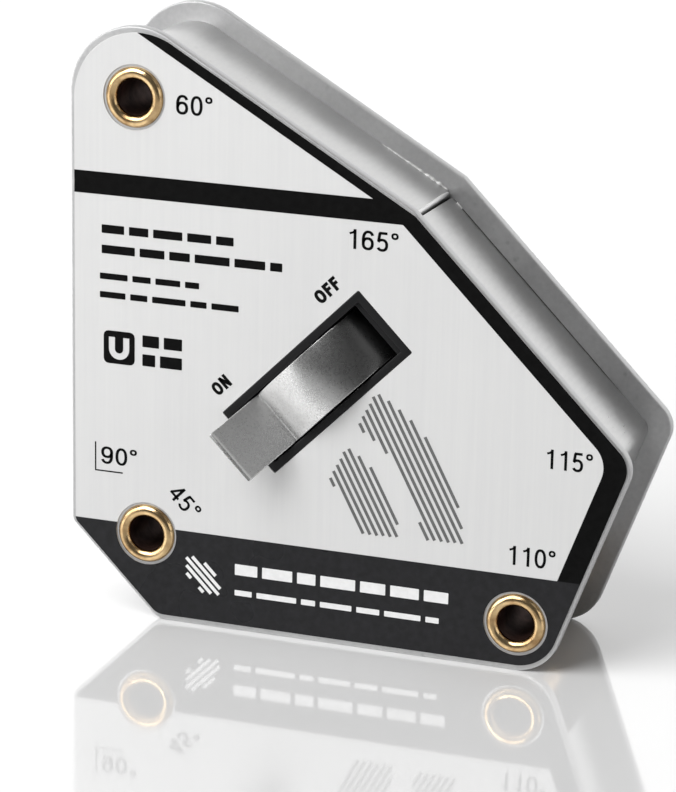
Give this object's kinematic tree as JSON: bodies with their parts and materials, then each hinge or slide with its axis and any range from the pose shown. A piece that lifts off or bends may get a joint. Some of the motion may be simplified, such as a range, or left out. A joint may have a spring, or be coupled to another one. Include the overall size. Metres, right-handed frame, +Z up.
{
  "type": "welding magnet holder",
  "caption": "Flat many-sided magnetic holder for setting up welds: steel plates with angled edges, hollow rivets and a thumb lever that turns an inner magnet rotor.",
  "frame": {"origin": "centre of the overall box in X and Y, at the level of the bottom working edge", "axes": "+X to the right as seen from the labelled front, +Y through the thickness from the front plate to the back plate, +Z up along the left working edge"},
  "size_m": [0.1012, 0.038, 0.1056],
  "materials": {
    "plate_steel": "satin rolled sheet with a matt zinc finish",
    "label_metal": "satin label with faint vertical brushing and printed black bands",
    "strip_steel": "satin bent sheet",
    "rivet_brass": "polished",
    "bezel_plastic": "fine moulded grain",
    "stop_rubber": "matt",
    "core_steel": "machined",
    "bush_bronze": "turned",
    "lever_metal": "satin, bead blasted",
    "axle_steel": "ground",
    "ferrite": "ground ceramic",
    "disc_brass": "turned",
    "clip_steel": "blackened spring steel"
  },
  "bodies": {
    "housing": {"front_plate": "plate_steel", "back_plate": "plate_steel", "face_label": "label_metal", "upper_spacer": "strip_steel", "side_spacer": "strip_steel", "lower_spacer": "strip_steel", "top_rivet": "rivet_brass", "corner_rivet": "rivet_brass", "foot_rivet": "rivet_brass", "switch_bezel": "bezel_plastic", "lever_stop": "stop_rubber", "upper_pole_shoe": "core_steel", "lower_pole_shoe": "core_steel", "upper_bracket": "core_steel", "lower_bracket": "core_steel", "upper_bush": "bush_bronze", "lower_bush": "bush_bronze"},
    "rotor": {"switch_lever": "lever_metal", "lever_pin": "axle_steel", "axle": "axle_steel", "upper_magnets": "ferrite", "lower_magnets": "ferrite", "upper_front_pole": "core_steel", "upper_back_pole": "core_steel", "lower_front_pole": "core_steel", "lower_back_pole": "core_steel", "upper_inner_disc": "disc_brass", "upper_outer_disc": "disc_brass", "lower_inner_disc": "disc_brass", "lower_outer_disc": "disc_brass", "upper_clip": "clip_steel", "lower_clip": "clip_steel"}
  },
  "joints": [
    {"name": "lever_turn", "type": "hinge", "parent": "housing", "child": "rotor", "pos_m": [-0.00507, 0.00196, 0.0469], "axis": [-0.7071, 0, 0.7071], "range_deg": [0, 84]}
  ]
}
